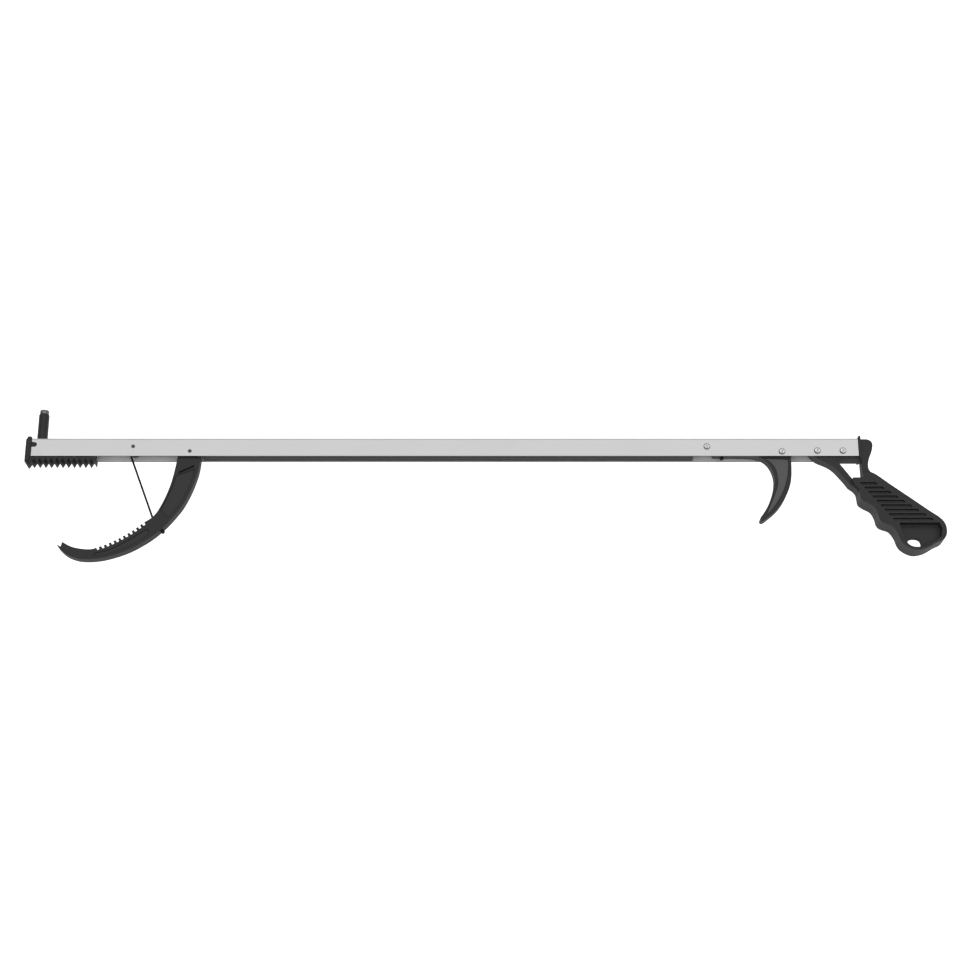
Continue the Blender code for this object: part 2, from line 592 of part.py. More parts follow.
def make_knot(name, centre, inward, reach, length=1.0):
    """A pulled-up knot on the cord's end, with the cord's last stretch through its hole."""
    turn = Vector((0, 0, 1)).rotation_difference(Vector((*inward, 0)))
    profile = [(0, -1.5 * length), (0.9, -1.3 * length), (1.5, -0.5 * length), (1.5, 0.4 * length)]
    profile += [(CORD_RADIUS, 1.1 * length), (CORD_RADIUS, reach), (0, reach)]
    knot = turned(name, profile, (0, 0, 0), sides=12)
    place = Vector((*centre, MID_Z)) * MM
    knot.data.transform(Matrix.Translation(place) @ turn.to_matrix().to_4x4())
    finish(knot, (0.03, 0.03, 0.03), 0.8)
    return knot


def make_knots():
    way = (Vector(JAW_HOLE_MOUTH) - Vector(JAW_HOLE_EXIT)).normalized()
    outside = Vector(JAW_HOLE_EXIT) - way * 1.2
    reach = (Vector(JAW_HOLE_MOUTH) - outside).length - GAP
    set_origin(make_knot("jaw_cord_knot", outside, way, reach, 0.7), JAW_PIVOT)
    set_origin(make_knot("trigger_cord_knot", (ARM_HOLE_X, 19.1), (0, 1), 2.7), TRIGGER_PIVOT)


def main():
    clear_scene()
    make_channel()
    make_front_jaw()
    make_magnet()
    make_cover_strip()
    make_moving_jaw()
    make_trigger()
    make_handle()
    make_pin("front_guide_pin", GUIDE_PIN)
    make_pin("jaw_pivot_pin", JAW_PIVOT)
    make_guide_bush()
    make_rivet("rear_guide_rivet", GUIDE_RIVET)
    make_rivet("trigger_pivot_rivet", TRIGGER_PIVOT)
    make_rivet("handle_rivet_front", HANDLE_RIVETS[0])
    make_rivet("handle_rivet_rear", HANDLE_RIVETS[1])
    make_spring()
    make_cords()
    make_knots()


main()
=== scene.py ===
"""Reacher grabber: the finished surfaces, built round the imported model."""

import json
import math

import bpy
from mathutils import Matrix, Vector


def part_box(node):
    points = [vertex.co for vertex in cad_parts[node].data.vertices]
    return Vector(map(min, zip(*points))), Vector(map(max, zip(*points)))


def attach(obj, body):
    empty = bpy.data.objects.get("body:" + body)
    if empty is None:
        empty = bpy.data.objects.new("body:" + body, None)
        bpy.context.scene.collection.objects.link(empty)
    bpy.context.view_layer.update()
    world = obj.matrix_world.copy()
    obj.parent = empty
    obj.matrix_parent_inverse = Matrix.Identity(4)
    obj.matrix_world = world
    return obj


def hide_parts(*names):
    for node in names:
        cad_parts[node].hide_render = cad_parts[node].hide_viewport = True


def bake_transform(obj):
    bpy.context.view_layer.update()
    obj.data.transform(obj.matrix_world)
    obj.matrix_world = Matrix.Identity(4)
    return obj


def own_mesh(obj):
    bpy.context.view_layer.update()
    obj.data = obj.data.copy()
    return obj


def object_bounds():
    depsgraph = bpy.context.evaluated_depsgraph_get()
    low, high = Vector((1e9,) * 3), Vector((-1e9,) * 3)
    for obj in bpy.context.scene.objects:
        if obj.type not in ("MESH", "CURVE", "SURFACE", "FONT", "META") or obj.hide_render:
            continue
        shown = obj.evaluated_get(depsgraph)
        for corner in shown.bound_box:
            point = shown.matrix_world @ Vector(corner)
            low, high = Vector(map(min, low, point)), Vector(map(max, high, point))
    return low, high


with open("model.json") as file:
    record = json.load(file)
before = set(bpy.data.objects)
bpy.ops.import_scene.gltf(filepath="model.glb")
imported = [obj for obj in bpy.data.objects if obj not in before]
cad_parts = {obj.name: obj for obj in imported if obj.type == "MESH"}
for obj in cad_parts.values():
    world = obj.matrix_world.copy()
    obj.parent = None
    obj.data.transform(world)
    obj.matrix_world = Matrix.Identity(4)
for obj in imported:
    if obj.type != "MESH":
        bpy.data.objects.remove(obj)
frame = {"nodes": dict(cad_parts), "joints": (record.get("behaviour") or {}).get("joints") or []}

bl_info = {
    "name": "Reacher Grabber",
    "version": (1, 0, 0),
    "blender": (4, 5, 0),
    "location": "3D View > Sidebar > Grabber",
    "description": "Builds a reacher grabber's mouldings, channel, rivets, spring and cord",
    "category": "Object",
}

CAD_BOX = [list(corner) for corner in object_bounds()]
MM = 0.001


def linear(hex_colour):
    """An sRGB hex colour as linear red, green and blue."""
    levels = [int(hex_colour[i : i + 2], 16) / 255 for i in (0, 2, 4)]
    return tuple(v / 12.92 if v <= 0.04045 else ((v + 0.055) / 1.055) ** 2.4 for v in levels)


def centre_of(node):
    low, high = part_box(node)
    return (Vector(low) + Vector(high)) / 2


def hinge(joint):
    """A joint's point on its axis."""
    return Vector(next(j for j in frame["joints"] if j["name"] == joint)["pos_m"])


CHANNEL_LOW, CHANNEL_HIGH = (Vector(corner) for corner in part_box("channel"))
MIDDLE = centre_of("channel").z
JAW_PIVOT = hinge("jaw_close")
GUIDE_PIN = hinge("cord_drop_swing")
GUIDE_RIVET = centre_of("rear_guide_rivet")

# Places and sizes that the frame doesn't name, in millimetres.
JAW_HOLE = (-235.7, -26.6)
JAW_HOLE_END = (-228.5, -35.9)
ARM_HOLE_X = 173.7
ARM_HOLE_TOP = 21.8
ARM_KNOT_Y = 19.1
PEG = (-323.4, 27.6)
PEG_NOTCH_RADIUS = 1.8
PIN_HOLE_RADIUS = 1.15
RIVET_HOLE_RADIUS = 1.75
RIVET_SHANK_RADIUS = 1.6
RIVET_SEAT = 0.15
POST_SLOT_HALF = 4.05
BELOW, ABOVE = -2, 18
BUSH_GROOVE_RADIUS = 3.2
BUSH_BORE_RADIUS = 1.2
BUSH_GROOVE_HALF = 2.6
PIN_HEAD_RADIUS = 1.4
PIN_HEAD_HEIGHT = 0.3
SPRING_MEAN_RADIUS = 2.75
SPRING_TURNS = 2.25
SPRING_BACK_LEG = ((-193.0, 30.6), (-204.0, 27.6))
SPRING_FOOT = (-216.9, 7.5)
FRONT_CORD_BEND = 4.05
REAR_CORD_BEND = 2.45
DROP_START_DEG, DROP_END_DEG = 180, 201.3
MOST_MOULDING_FACES = 110_000

PINS = ("front_guide_pin", "jaw_pivot_pin")
RIVETS = ("rear_guide_rivet", "trigger_pivot_rivet", "handle_rivet_front", "handle_rivet_rear")
QUARTER = [math.radians(15 * i) for i in range(7)]


# Sizes and colours that a user would change.


class GrabberSizes(bpy.types.PropertyGroup):
    wall: bpy.props.FloatProperty(
        name="Channel wall", description="Sheet thickness of the channel",
        default=1.2 * MM, min=0.5 * MM, unit="LENGTH",
    )
    bend: bpy.props.FloatProperty(
        name="Bend radius", description="Outer radius of the channel's two long bends",
        default=1.3 * MM, min=0.0, unit="LENGTH",
    )
    moulded_edge: bpy.props.FloatProperty(
        name="Moulded edge",
        description="Fineness of the mouldings' surface, which sets the rounding of their edges",
        default=0.26 * MM, min=0.2 * MM, unit="LENGTH",
    )
    cord: bpy.props.FloatProperty(
        name="Cord diameter", description="Diameter of the twisted pull cord",
        default=1.6 * MM, min=0.5 * MM, unit="LENGTH",
    )
    twist: bpy.props.FloatProperty(
        name="Cord lay", description="Length of one full turn of the cord's strands",
        default=4.5 * MM, min=1.0 * MM, unit="LENGTH",
    )
    wire: bpy.props.FloatProperty(
        name="Spring wire", description="Diameter of the return spring's wire",
        default=0.8 * MM, min=0.2 * MM, unit="LENGTH",
    )


class GrabberColours(bpy.types.PropertyGroup):
    aluminium: bpy.props.FloatVectorProperty(
        name="Aluminium", description="Colour of the anodised channel",
        subtype="COLOR", size=3, default=linear("F2F2F3"), min=0.0, max=1.0,
    )
    moulding: bpy.props.FloatVectorProperty(
        name="Mouldings", description="Colour of the handle, trigger and both jaws",
        subtype="COLOR", size=3, default=linear("262627"), min=0.0, max=1.0,
    )
    strip: bpy.props.FloatVectorProperty(
        name="Cover strip", description="Colour of the strip in the channel's mouth",
        subtype="COLOR", size=3, default=linear("2E2E30"), min=0.0, max=1.0,
    )
    steel: bpy.props.FloatVectorProperty(
        name="Plated steel", description="Colour of the rivets and pins",
        subtype="COLOR", size=3, default=linear("F4F4F5"), min=0.0, max=1.0,
    )
    cord: bpy.props.FloatVectorProperty(
        name="Cord", description="Colour of the pull cord",
        subtype="COLOR", size=3, default=linear("0B0B0C"), min=0.0, max=1.0,
    )


# Materials.


def add(tree, kind, settings, **links):
    """Adds a node, sets its properties and input values, and links its inputs."""
    node = tree.nodes.new(kind)
    for key, value in settings.items():
        if isinstance(key, str) and hasattr(node, key):
            setattr(node, key, value)
        else:
            node.inputs[key].default_value = value
    for socket, source in links.items():
        tree.links.new(source, node.inputs[socket.replace("_", " ")])
    return node


def new_material(name, colour, roughness, metallic=0.0):
    """A material with only its shader, and the values that are the same all over it."""
    material = bpy.data.materials.new(name)
    material.use_nodes = True
    shader = material.node_tree.nodes["Principled BSDF"]
    shader.inputs["Base Color"].default_value = (*colour, 1.0)
    shader.inputs["Roughness"].default_value = roughness
    shader.inputs["Metallic"].default_value = metallic
    return material, material.node_tree, shader


def relief(tree, shader, height, distance, strength=1.0):
    """Feeds a height into the shader's normal; distance is the relief's real depth."""
    bump = add(tree, "ShaderNodeBump", {"Distance": distance, "Strength": strength}, Height=height)
    tree.links.new(bump.outputs["Normal"], shader.inputs["Normal"])


def ranged(tree, value, low, high):
    """Stretches a 0 to 1 value between two levels."""
    return add(tree, "ShaderNodeMapRange", {"To Min": low, "To Max": high}, Value=value).outputs["Result"]


def anodised_aluminium(colour):
    """Rolled sheet, etched and clear anodised: an even satin silver with faint lengthwise rolling lines."""
    material, tree, shader = new_material("anodised rolled aluminium", colour, 0.36, 1.0)
    place = add(tree, "ShaderNodeTexCoord", {}).outputs["Object"]
    lengthwise = add(tree, "ShaderNodeMapping", {"Scale": (0.02, 1.0, 1.0)}, Vector=place)
    # Rolling lines are finer than this; they are drawn 0.5 mm apart so that they show.
    along = lengthwise.outputs[0]
    lines = add(tree, "ShaderNodeTexNoise", {"Scale": 1 / (0.5 * MM), "Detail": 3.0}, Vector=along)
    grain = add(tree, "ShaderNodeTexNoise", {"Scale": 1 / (0.25 * MM), "Detail": 2.0}, Vector=place)
    handling = add(tree, "ShaderNodeTexNoise", {"Scale": 1 / (35 * MM), "Detail": 4.0}, Vector=place)
    rough = add(tree, "ShaderNodeMath", {"operation": "MULTIPLY"})
    tree.links.new(ranged(tree, lines.outputs["Fac"], 0.92, 1.08), rough.inputs[0])
    tree.links.new(ranged(tree, handling.outputs["Fac"], 0.33, 0.41), rough.inputs[1])
    tree.links.new(rough.outputs[0], shader.inputs["Roughness"])
    height = add(tree, "ShaderNodeMath", {"operation": "ADD"})
    tree.links.new(lines.outputs["Fac"], height.inputs[0])
    tree.links.new(grain.outputs["Fac"], height.inputs[1])
    relief(tree, shader, height.outputs[0], 0.004 * MM, 0.5)
    return material


def moulded_nylon(colour):
    """Black glass-filled nylon from a spark-eroded mould: satin, with a fine pebbled skin."""
    material, tree, shader = new_material("moulded black nylon", colour, 0.42)
    place = add(tree, "ShaderNodeTexCoord", {}).outputs["Object"]
    pebble = add(tree, "ShaderNodeTexNoise", {"Scale": 1 / (0.35 * MM), "Detail": 3.0}, Vector=place)
    flow = add(tree, "ShaderNodeTexNoise", {"Scale": 1 / (14 * MM), "Detail": 3.0}, Vector=place)
    paler = (*[level * 1.5 for level in colour], 1)
    shade = add(tree, "ShaderNodeMix", {"data_type": "RGBA", 6: (*colour, 1), 7: paler})
    tree.links.new(flow.outputs["Fac"], shade.inputs[0])
    tree.links.new(shade.outputs[2], shader.inputs["Base Color"])
    tree.links.new(ranged(tree, flow.outputs["Fac"], 0.36, 0.48), shader.inputs["Roughness"])
    relief(tree, shader, pebble.outputs["Fac"], 0.02 * MM, 0.6)
    return material


def etched_nylon_painted_sheen(colour):
    """The same nylon on the sunken panels, where the mould is etched and almost matt; its paler colour is a
    painted sheen that stands for the softbox's reflection on the panels.
    """
    material, tree, shader = new_material("etched black nylon with painted sheen", colour, 0.75)
    place = add(tree, "ShaderNodeTexCoord", {}).outputs["Object"]
    etch = add(tree, "ShaderNodeTexNoise", {"Scale": 1 / (0.5 * MM), "Detail": 4.0}, Vector=place)
    tree.links.new(ranged(tree, etch.outputs["Fac"], 0.65, 0.85), shader.inputs["Roughness"])
    relief(tree, shader, etch.outputs["Fac"], 0.05 * MM, 0.7)
    return material


def sheared_edge_painted_shade():
    """The channel's sheared long edges: rough broken metal that the anodising leaves dull; the dark grey is
    painted shade along these edges, which face -Y.
    """
    material, tree, shader = new_material("sheared aluminium edge with painted shade", linear("77787A"), 0.6, 1.0)
    place = add(tree, "ShaderNodeTexCoord", {}).outputs["Object"]
    tears = add(tree, "ShaderNodeTexNoise", {"Scale": 1 / (0.3 * MM), "Detail": 4.0}, Vector=place)
    relief(tree, shader, tears.outputs["Fac"], 0.05 * MM, 0.8)
    return material


def milky_aluminium():
    """The channel's inner walls: a thick, milky anodic film that scatters light and hardly mirrors."""
    material, tree, shader = new_material("milky anodised inside", linear("EDEDEE"), 0.6, 0.25)
    place = add(tree, "ShaderNodeTexCoord", {}).outputs["Object"]
    film = add(tree, "ShaderNodeTexNoise", {"Scale": 1 / (2 * MM), "Detail": 4.0}, Vector=place)
    tree.links.new(ranged(tree, film.outputs["Fac"], 0.5, 0.7), shader.inputs["Roughness"])
    return material


def extruded_vinyl(colour):
    """Rigid vinyl strip, extruded: semi-matt, with die lines along its length."""
    material, tree, shader = new_material("extruded rigid vinyl", colour, 0.4)
    place = add(tree, "ShaderNodeTexCoord", {}).outputs["Object"]
    lengthwise = add(tree, "ShaderNodeMapping", {"Scale": (0.01, 1.0, 1.0)}, Vector=place)
    along = lengthwise.outputs[0]
    lines = add(tree, "ShaderNodeTexNoise", {"Scale": 1 / (0.6 * MM), "Detail": 2.0}, Vector=along)
    tree.links.new(ranged(tree, lines.outputs["Fac"], 0.34, 0.5), shader.inputs["Roughness"])
    relief(tree, shader, lines.outputs["Fac"], 0.02 * MM, 0.6)
    return material


def plated_steel(name, colour, roughness, grain):
    """Cold-headed steel, zinc or nickel plated: bright, with a slightly uneven skin."""
    material, tree, shader = new_material(name, colour, roughness, 1.0)
    place = add(tree, "ShaderNodeTexCoord", {}).outputs["Object"]
    skin = add(tree, "ShaderNodeTexNoise", {"Scale": 1 / grain, "Detail": 3.0}, Vector=place)
    uneven = ranged(tree, skin.outputs["Fac"], roughness * 0.7, roughness * 1.35)
    tree.links.new(uneven, shader.inputs["Roughness"])
    relief(tree, shader, skin.outputs["Fac"], 0.01 * MM, 0.5)
    return material


def drawn_wire():
    """Patented spring wire, hard drawn and oiled: dark grey with fine drawing marks."""
    material, tree, shader = new_material("hard drawn spring wire", linear("8A8B8D"), 0.32, 1.0)
    place = add(tree, "ShaderNodeTexCoord", {}).outputs["Object"]
    marks = add(tree, "ShaderNodeTexNoise", {"Scale": 1 / (0.3 * MM), "Detail": 4.0}, Vector=place)
    tree.links.new(ranged(tree, marks.outputs["Fac"], 0.24, 0.42), shader.inputs["Roughness"])
    relief(tree, shader, marks.outputs["Fac"], 0.005 * MM, 0.5)
    return material


def twisted_nylon(colour):
    """Black nylon multifilament, twisted: soft, with fine filaments along each strand."""
    material, tree, shader = new_material("twisted nylon cord", colour, 0.62)
    place = add(tree, "ShaderNodeTexCoord", {}).outputs["Object"]
    fibres = add(tree, "ShaderNodeTexNoise", {"Scale": 1 / (0.12 * MM), "Detail": 3.0}, Vector=place)
    paler = (*[level * 2.2 for level in colour], 1)
    shade = add(tree, "ShaderNodeMix", {"data_type": "RGBA", 6: (*colour, 1), 7: paler})
    tree.links.new(fibres.outputs["Fac"], shade.inputs[0])
    tree.links.new(shade.outputs[2], shader.inputs["Base Color"])
    relief(tree, shader, fibres.outputs["Fac"], 0.03 * MM, 0.7)
    return material


def opal_acrylic():
    """Opal acrylic of a product table, lit from below: white, even and without shadows."""
    material, tree, shader = new_material("opal acrylic", linear("C8C8C8"), 0.8)
    # The glow whitens the table for the camera, and is kept low on the object's undersides.
    seen = add(tree, "ShaderNodeLightPath", {}).outputs["Is Camera Ray"]
    shader.inputs["Emission Color"].default_value = (1.0, 1.0, 1.0, 1.0)
    tree.links.new(ranged(tree, seen, 0.25, 1.1), shader.inputs["Emission Strength"])
    return material


# Modelling.


def start_edit(obj):
    bpy.ops.object.select_all(action="DESELECT")
    bpy.context.view_layer.objects.active = obj
    obj.select_set(True)
    bpy.ops.object.mode_set(mode="EDIT")


def end_edit():
    bpy.ops.object.mode_set(mode="OBJECT")
    return bpy.context.object


def settle(obj, name):
    """Names a piece and moves its place into its mesh."""
    bpy.ops.object.select_all(action="DESELECT")
    bpy.context.view_layer.objects.active = obj
    obj.select_set(True)
    bpy.ops.object.transform_apply(location=True, rotation=True, scale=True)
    obj.name = name
    obj.data.name = name
    return obj


def trace(points):
    """One vertex at the first point, then extruded from point to point; the mesh stays in edit mode."""
    bpy.ops.object.select_all(action="DESELECT")
    bpy.ops.mesh.primitive_plane_add(size=MM, location=points[0])
    bpy.ops.object.transform_apply(location=True, rotation=True, scale=True)
    bpy.ops.object.mode_set(mode="EDIT")
    bpy.ops.mesh.select_mode(type="VERT")
    bpy.ops.mesh.select_all(action="SELECT")
    bpy.ops.mesh.merge(type="CENTER")
    for here, there in zip(points, points[1:]):
        step = Vector(there) - Vector(here)
        bpy.ops.mesh.extrude_region_move(TRANSFORM_OT_translate={"value": step})


def lathe(name, profile, centre, axis, steps):
    """A piece turned about an axis from (radius, height) points that start and end on the axis."""
    along = Vector(axis)
    side = along.orthogonal().normalized()
    trace([Vector(centre) + side * radius + along * height for radius, height in profile])
    bpy.ops.mesh.select_all(action="SELECT")
    bpy.ops.mesh.spin(steps=steps, angle=math.tau, center=centre, axis=along)
    bpy.ops.mesh.select_all(action="SELECT")
    bpy.ops.mesh.remove_doubles(threshold=0.001 * MM)
    bpy.ops.mesh.normals_make_consistent(inside=False)
    return settle(end_edit(), name)


def modify(obj, kind, **settings):
    """Adds a modifier with its settings and applies it."""
    modifier = obj.modifiers.new(kind.title(), kind)
    for key, value in settings.items():
        setattr(modifier, key, value)
    bpy.ops.object.select_all(action="DESELECT")
    bpy.context.view_layer.objects.active = obj
    bpy.ops.object.modifier_apply(modifier=modifier.name)


def cut(obj, cutter):
    """Cuts one shape from another and removes the cutter."""
    modify(obj, "BOOLEAN", operation="DIFFERENCE", object=cutter)
    bpy.data.objects.remove(cutter, do_unlink=True)


def drill(obj, centre, radius, low, high):
    """A round hole along Z."""
    bpy.ops.object.select_all(action="DESELECT")
    place = (centre[0], centre[1], (low + high) / 2)
    bpy.ops.mesh.primitive_cylinder_add(vertices=48, radius=radius, depth=high - low, location=place)
    cut(obj, settle(bpy.context.object, "drill"))


def block(low, high, name="block"):
    """A box between two corners."""
    low, high = Vector(low), Vector(high)
    bpy.ops.object.select_all(action="DESELECT")
    bpy.ops.mesh.primitive_cube_add(size=1, location=(low + high) / 2, scale=high - low)
    return settle(bpy.context.object, name)


def soften(obj, radius, segments=3, angle=35):
    """Rounds the sharp edges, and shades the flats flat and the rounds round."""
    modify(
        obj, "BEVEL", width=radius, segments=segments, limit_method="ANGLE",
        angle_limit=math.radians(angle), use_clamp_overlap=False, miter_outer="MITER_ARC",
    )
    shade(obj)


def shade(obj, angle=30):
    """Smooth shading up to an angle, with the large flat faces kept flat."""
    bpy.ops.object.select_all(action="DESELECT")
    bpy.context.view_layer.objects.active = obj
    obj.select_set(True)
    bpy.ops.object.shade_smooth_by_angle(angle=math.radians(angle))
    modify(obj, "WEIGHTED_NORMAL", keep_sharp=True, weight=100)


def whole_copy(node, name):
    """A copy of a CAD node's solid as one connected mesh."""
    obj = bpy.data.objects.new(name, frame["nodes"][node].data.copy())
    bpy.context.scene.collection.objects.link(obj)
    obj.data.materials.clear()
    start_edit(obj)
    bpy.ops.mesh.select_all(action="SELECT")
    bpy.ops.mesh.remove_doubles(threshold=0.002 * MM)
    return settle(end_edit(), name)


def mould(obj, fineness, most_faces):
    """Turns a sharp solid into a moulding whose edges are all softly rounded."""
    modify(obj, "REMESH", mode="VOXEL", voxel_size=fineness)
    modify(obj, "SMOOTH", factor=0.5, iterations=2)
    faces = sum(len(face.vertices) - 2 for face in obj.data.polygons)
    if faces > most_faces:
        modify(obj, "DECIMATE", ratio=most_faces / faces)
    bpy.ops.object.select_all(action="DESELECT")
    bpy.context.view_layer.objects.active = obj
    obj.select_set(True)
    bpy.ops.object.shade_smooth()


def tube(name, routes, radius, sides=8):
    """Round tubes along routes of points, joined in one mesh with closed ends."""
    curve = bpy.data.curves.new(name, "CURVE")
    curve.dimensions = "3D"
    curve.bevel_depth = radius
    curve.bevel_resolution = sides // 2 - 2
    curve.use_fill_caps = True
    for route in routes:
        spline = curve.splines.new("POLY")
        spline.points.add(len(route) - 1)
        for point, place in zip(spline.points, route):
            point.co = (*place, 1.0)
        spline.use_smooth = True
    obj = bpy.data.objects.new(name, curve)
    bpy.context.scene.collection.objects.link(obj)
    bpy.ops.object.select_all(action="DESELECT")
    bpy.context.view_layer.objects.active = obj
    obj.select_set(True)
    bpy.ops.object.convert(target="MESH")
    start_edit(obj)
    bpy.ops.mesh.select_all(action="SELECT")
    bpy.ops.mesh.remove_doubles(threshold=0.001 * MM)
    end_edit()
    shade(obj, 50)
    return obj


def arc(centre, radius, start, end, steps, z=None):
    """Points on an arc in the X-Y plane, from start to end in degrees."""
    height = MIDDLE if z is None else z
    turns = [math.radians(start + (end - start) * i / steps) for i in range(steps + 1)]
    x, y = centre[0], centre[1]
    return [Vector((x + radius * math.cos(a), y + radius * math.sin(a), height)) for a in turns]


def at(x, y, z=None):
    """A point from millimetres, at the middle height unless told."""
    return Vector((x * MM, y * MM, MIDDLE if z is None else z * MM))


def resample(route, spacing):
    """Evenly spaced points along a route."""
    lengths = [0.0]
    for here, there in zip(route, route[1:]):
        lengths.append(lengths[-1] + (there - here).length)
    count = max(2, round(lengths[-1] / spacing))
    points = []
    leg = 0
    for i in range(count + 1):
        goal = lengths[-1] * i / count
        while leg < len(route) - 2 and lengths[leg + 1] < goal:
            leg += 1
        span = lengths[leg + 1] - lengths[leg]
        points.append(route[leg].lerp(route[leg + 1], (goal - lengths[leg]) / span))
    return points


def strands(route, diameter, lay):
    """The centre lines of three strands laid round a route."""
    offset = diameter * 0.2
    points = resample(route, lay / 9)
    lines = [[], [], []]
    travelled = 0.0
    across = None
    for i, here in enumerate(points):
        ahead = (points[min(i + 1, len(points) - 1)] - points[max(i - 1, 0)]).normalized()
        if across is None:
            across = ahead.orthogonal().normalized()
        across = (across - ahead * across.dot(ahead)).normalized()
        beside = ahead.cross(across)
        if i:
            travelled += (here - points[i - 1]).length
        for k, line in enumerate(lines):
            turn = math.tau * (travelled / lay + k / 3)
            line.append(here + across * math.cos(turn) * offset + beside * math.sin(turn) * offset)
    return lines


def lay_cord(name, route, sizes):
    """A stretch of three-strand cord."""
    return tube(name, strands(route, sizes.cord, sizes.twist), sizes.cord * 0.31, 8)


def dress(obj, material, body, slot, *nodes):
    """Gives a piece its material and its body, and hides the CAD nodes that it stands for; the slot is not
    used.
    """
    obj.data.materials.clear()
    obj.data.materials.append(material)
    if nodes:
        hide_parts(*nodes)
    if body:
        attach(obj, body)


def second_finish(obj, material, chosen):
    """Gives another material to the faces that the test picks by their middle and normal."""
    obj.data.materials.append(material)
    for face in obj.data.polygons:
        if chosen(face.center, face.normal):
            face.material_index = len(obj.data.materials) - 1


# The pieces.


class GRABBER_OT_channel(bpy.types.Operator):
    """Folds the aluminium channel and punches its holes, notches and slot"""

    bl_idname = "grabber.channel"
    bl_label = "Channel"

    def execute(self, context):
        sizes = context.scene.grabber_sizes
        channel = block(CHANNEL_LOW, CHANNEL_HIGH, "aluminium_channel")
        start_edit(channel)
        bpy.ops.mesh.select_all(action="DESELECT")
        bpy.ops.mesh.select_mode(type="FACE")
        bpy.ops.object.mode_set(mode="OBJECT")
        for face in channel.data.polygons:
            face.select = face.normal.y < -0.5 or abs(face.normal.x) > 0.5
        bpy.ops.object.mode_set(mode="EDIT")
        bpy.ops.mesh.delete(type="FACE")
        bpy.ops.mesh.select_mode(type="EDGE")
        bpy.ops.object.mode_set(mode="OBJECT")
        for edge in channel.data.edges:
            ends = [channel.data.vertices[i].co for i in edge.vertices]
            edge.select = all(end.y > CHANNEL_HIGH.y - MM for end in ends) and abs(ends[0].x - ends[1].x) > MM
        bpy.ops.object.mode_set(mode="EDIT")
        bpy.ops.mesh.bevel(offset=sizes.bend, segments=6)
        bpy.ops.mesh.select_all(action="SELECT")
        bpy.ops.mesh.normals_make_consistent(inside=False)
        end_edit()
        modify(channel, "SOLIDIFY", thickness=sizes.wall, offset=-1.0, use_even_offset=True)
        low, high = BELOW * MM, ABOVE * MM
        for node in PINS:
            drill(channel, centre_of(node), PIN_HOLE_RADIUS * MM, low, high)
        for node in RIVETS:
            drill(channel, centre_of(node), RIVET_HOLE_RADIUS * MM, low, high)
        peg = at(*PEG)
        notch = PEG_NOTCH_RADIUS * MM
        drill(channel, peg, notch, low, high)
        ahead = CHANNEL_LOW.x - MM
        cut(channel, block((ahead, peg.y - notch, low), (peg.x, peg.y + notch, high)))
        post = centre_of("lug_magnet")
        half = POST_SLOT_HALF * MM
        cut(channel, block((ahead, CHANNEL_HIGH.y - 2 * MM, post.z - half),
                           (post.x + half, CHANNEL_HIGH.y + MM, post.z + half)))
        soften(channel, 0.12 * MM, 2)
        finish = anodised_aluminium(context.scene.grabber_colours.aluminium)
        dress(channel, finish, "frame", "aluminium", "channel")
        # The -Y-facing sheared edges get a dark grey: painted shade along the channel's open edges.
        sheared = CHANNEL_LOW.y + 0.05 * MM
        second_finish(channel, sheared_edge_painted_shade(),
                      lambda middle, normal: middle.y < sheared and normal.y < -0.9)
        inside = CHANNEL_HIGH.z - MIDDLE - sizes.wall + 0.05 * MM
        second_finish(channel, milky_aluminium(),
                      lambda middle, normal: abs(middle.z - MIDDLE) < inside and abs(normal.z) > 0.9)
        return {"FINISHED"}


class GRABBER_OT_mouldings(bpy.types.Operator):
    """Rounds the edges of the four black mouldings: front jaw, moving jaw, trigger and handle"""

    bl_idname = "grabber.mouldings"
    bl_label = "Mouldings"

    def execute(self, context):
        fineness = context.scene.grabber_sizes.moulded_edge
        nylon = moulded_nylon(context.scene.grabber_colours.moulding)
        # The panels' paler greys are painted sheen, and the trigger's is paler than the jaw's: painted
        # reflection of the softbox.
        etched = {"moving_jaw": etched_nylon_painted_sheen(linear("404040")), "trigger": etched_nylon_painted_sheen(linear("6A6A6A"))}
        bodies = {"front_jaw": "frame", "moving_jaw": "jaw", "trigger": "trigger_lever", "handle": "frame"}
        for node, body in bodies.items():
            piece = whole_copy(node, node + "_moulding")
            mould(piece, fineness, MOST_MOULDING_FACES)
            dress(piece, nylon, body, "black_moulding", node)
            if node in etched:
                second_finish(piece, etched[node], in_panel)
        return {"FINISHED"}


def in_panel(middle, normal):
    """Tells whether a face lies on the floor of a lever's sunken panel."""
    depth = abs(middle.z - MIDDLE)
    return abs(normal.z) > 0.9 and 2.7 * MM < depth < 3.3 * MM


class GRABBER_OT_cover_strip(bpy.types.Operator):
    """Shapes the snap-in strip, with two shallow grooves along its face"""

    bl_idname = "grabber.cover_strip"
    bl_label = "Cover Strip"

    def execute(self, context):
        strip = whole_copy("cover_strip", "snap_in_strip")
        low, high = (Vector(corner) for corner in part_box("cover_strip"))
        for offset in (-2.4 * MM, 2.4 * MM):
            z = MIDDLE + offset
            cut(strip, block((low.x - MM, low.y - MM, z - 0.4 * MM),
                             (high.x + MM, low.y + 0.3 * MM, z + 0.4 * MM)))
        soften(strip, 0.15 * MM, 2)
        vinyl = extruded_vinyl(context.scene.grabber_colours.strip)
        dress(strip, vinyl, "frame", "strip_moulding", "cover_strip")
        return {"FINISHED"}


